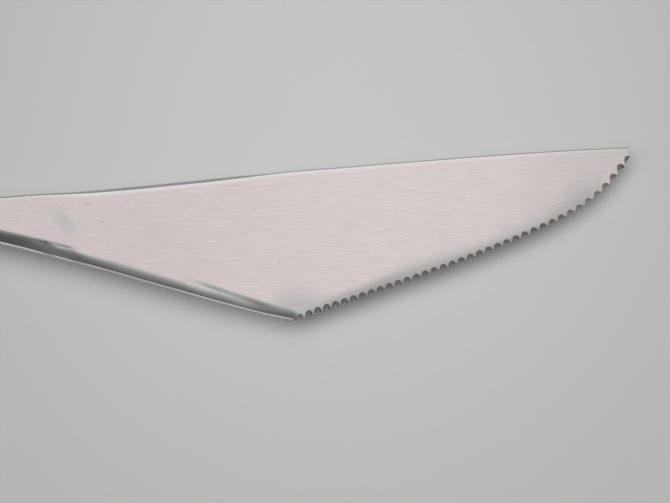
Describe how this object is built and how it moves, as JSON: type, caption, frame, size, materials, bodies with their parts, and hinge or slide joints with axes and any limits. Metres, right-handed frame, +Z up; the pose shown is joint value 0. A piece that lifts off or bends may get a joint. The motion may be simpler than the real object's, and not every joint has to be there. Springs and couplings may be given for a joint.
{
  "type": "table knife",
  "caption": "Stainless table knife lying on its side: broad angled blade with a fine toothed edge, slim neck and a flat-faced hollow handle.",
  "frame": {"origin": "middle of the knife's bounding box, on the table under it", "axes": "+X along the knife towards the tip, +Y towards the spine, +Z up from the table through the blade's face"},
  "size_m": [0.212, 0.0296, 0.0062],
  "materials": {
    "blade_steel": "brushed lengthways, rolled sides polished",
    "handle_steel": "brushed lengthways, rolled sides polished",
    "weld_steel": "ground flush and polished",
    "cement": "dull mineral filling"
  },
  "bodies": {
    "root": {"blade": "blade_steel", "handle_upper_shell": "handle_steel", "handle_lower_shell": "handle_steel", "handle_seam_weld": "weld_steel", "tang_cement": "cement"}
  },
  "joints": []
}
